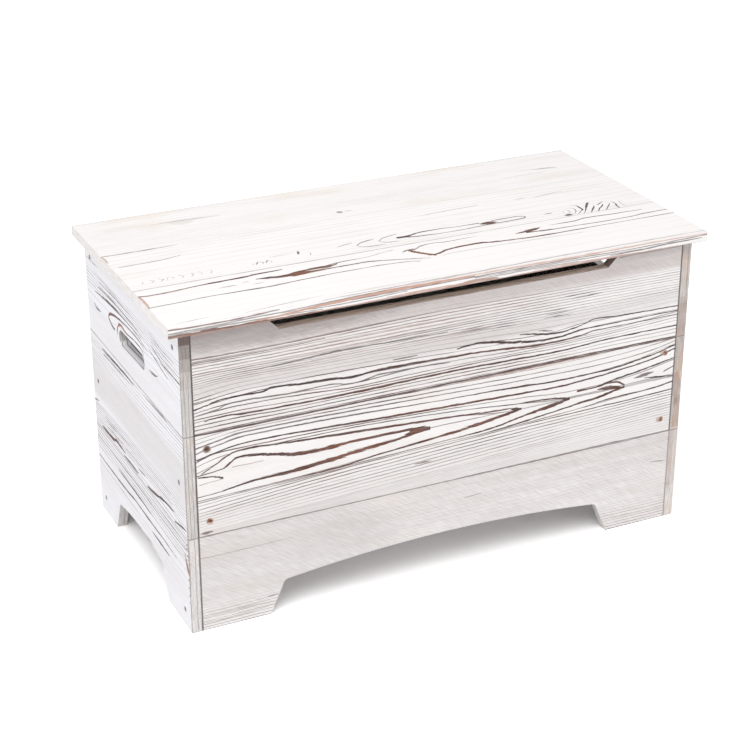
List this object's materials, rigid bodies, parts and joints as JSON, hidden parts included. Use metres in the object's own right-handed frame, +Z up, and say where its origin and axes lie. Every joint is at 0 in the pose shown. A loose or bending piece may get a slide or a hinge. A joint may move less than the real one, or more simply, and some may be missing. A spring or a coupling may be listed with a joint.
{
  "type": "toy box",
  "caption": "Wooden toy box with a hinged overhanging lid, a finger gap in front, hand slots in the sides and feet cut out with shallow arches.",
  "frame": {"origin": "on the floor, at the middle of the whole object's footprint with the lid closed", "axes": "+X to the right across the front, the front faces -Y, +Z up"},
  "size_m": [0.8, 0.4102, 0.455],
  "materials": {
    "whitewashed_body": "whitewash over burnt softwood grain, satin",
    "whitewashed_lid": "heavier whitewash over burnt softwood grain, satin",
    "plain_inner_wood": "thin whitewash over planed softwood",
    "dark_screws": "dulled screw heads",
    "zinc_fittings": "zinc plated, satin"
  },
  "bodies": {
    "carcass": {"front_top_board": "whitewashed_body", "front_middle_board": "whitewashed_body", "front_bottom_board": "whitewashed_body", "back_top_board": "whitewashed_body", "back_middle_board": "whitewashed_body", "back_bottom_board": "whitewashed_body", "left_top_board": "whitewashed_body", "left_middle_board": "whitewashed_body", "left_bottom_board": "whitewashed_body", "right_top_board": "whitewashed_body", "right_middle_board": "whitewashed_body", "right_bottom_board": "whitewashed_body", "front_left_post": "plain_inner_wood", "front_right_post": "plain_inner_wood", "back_left_post": "plain_inner_wood", "back_right_post": "plain_inner_wood", "front_ledger": "plain_inner_wood", "back_ledger": "plain_inner_wood", "left_ledger": "plain_inner_wood", "right_ledger": "plain_inner_wood", "floor_bearer": "plain_inner_wood", "floor_front_board": "plain_inner_wood", "floor_middle_board": "plain_inner_wood", "floor_back_board": "plain_inner_wood", "front_screws": "dark_screws", "back_screws": "dark_screws", "left_side_screws": "dark_screws", "right_side_screws": "dark_screws", "post_screws": "dark_screws", "ledger_screws": "dark_screws", "floor_screws": "dark_screws", "left_hinge_box_leaf": "zinc_fittings", "right_hinge_box_leaf": "zinc_fittings", "left_hinge_pin": "zinc_fittings", "right_hinge_pin": "zinc_fittings", "hinge_box_screws": "zinc_fittings", "left_stay_plate": "zinc_fittings", "right_stay_plate": "zinc_fittings", "left_stay_stud": "zinc_fittings", "right_stay_stud": "zinc_fittings", "stay_plate_screws": "zinc_fittings"},
    "lid": {"lid_front_board": "whitewashed_lid", "lid_middle_board": "whitewashed_lid", "lid_back_board": "whitewashed_lid", "lid_left_batten": "plain_inner_wood", "lid_right_batten": "plain_inner_wood", "batten_screws": "dark_screws", "left_hinge_lid_leaf": "zinc_fittings", "right_hinge_lid_leaf": "zinc_fittings", "hinge_lid_screws": "zinc_fittings", "left_stay_bracket": "zinc_fittings", "right_stay_bracket": "zinc_fittings", "left_stay_rivet": "zinc_fittings", "right_stay_rivet": "zinc_fittings", "stay_bracket_screws": "zinc_fittings"},
    "left_stay_arm": {"left_stay_arm": "zinc_fittings"},
    "right_stay_arm": {"right_stay_arm": "zinc_fittings"}
  },
  "joints": [
    {"name": "lid_open", "type": "hinge", "parent": "carcass", "child": "lid", "pos_m": [0, 0.20215, 0.44], "axis": [-1, 0, 0], "range_deg": [0, 95]},
    {"name": "left_stay_pivot", "type": "hinge", "parent": "lid", "child": "left_stay_arm", "pos_m": [-0.3635, 0.08297, 0.426], "axis": [-1, 0, 0], "range_deg": [-48, 0]},
    {"name": "right_stay_pivot", "type": "hinge", "parent": "lid", "child": "right_stay_arm", "pos_m": [0.3635, 0.08297, 0.426], "axis": [-1, 0, 0], "range_deg": [-48, 0]}
  ],
  "couplings": [
    {"joint": "left_stay_pivot", "follows": "lid_open", "ratio": -0.5},
    {"joint": "right_stay_pivot", "follows": "lid_open", "ratio": -0.5}
  ]
}
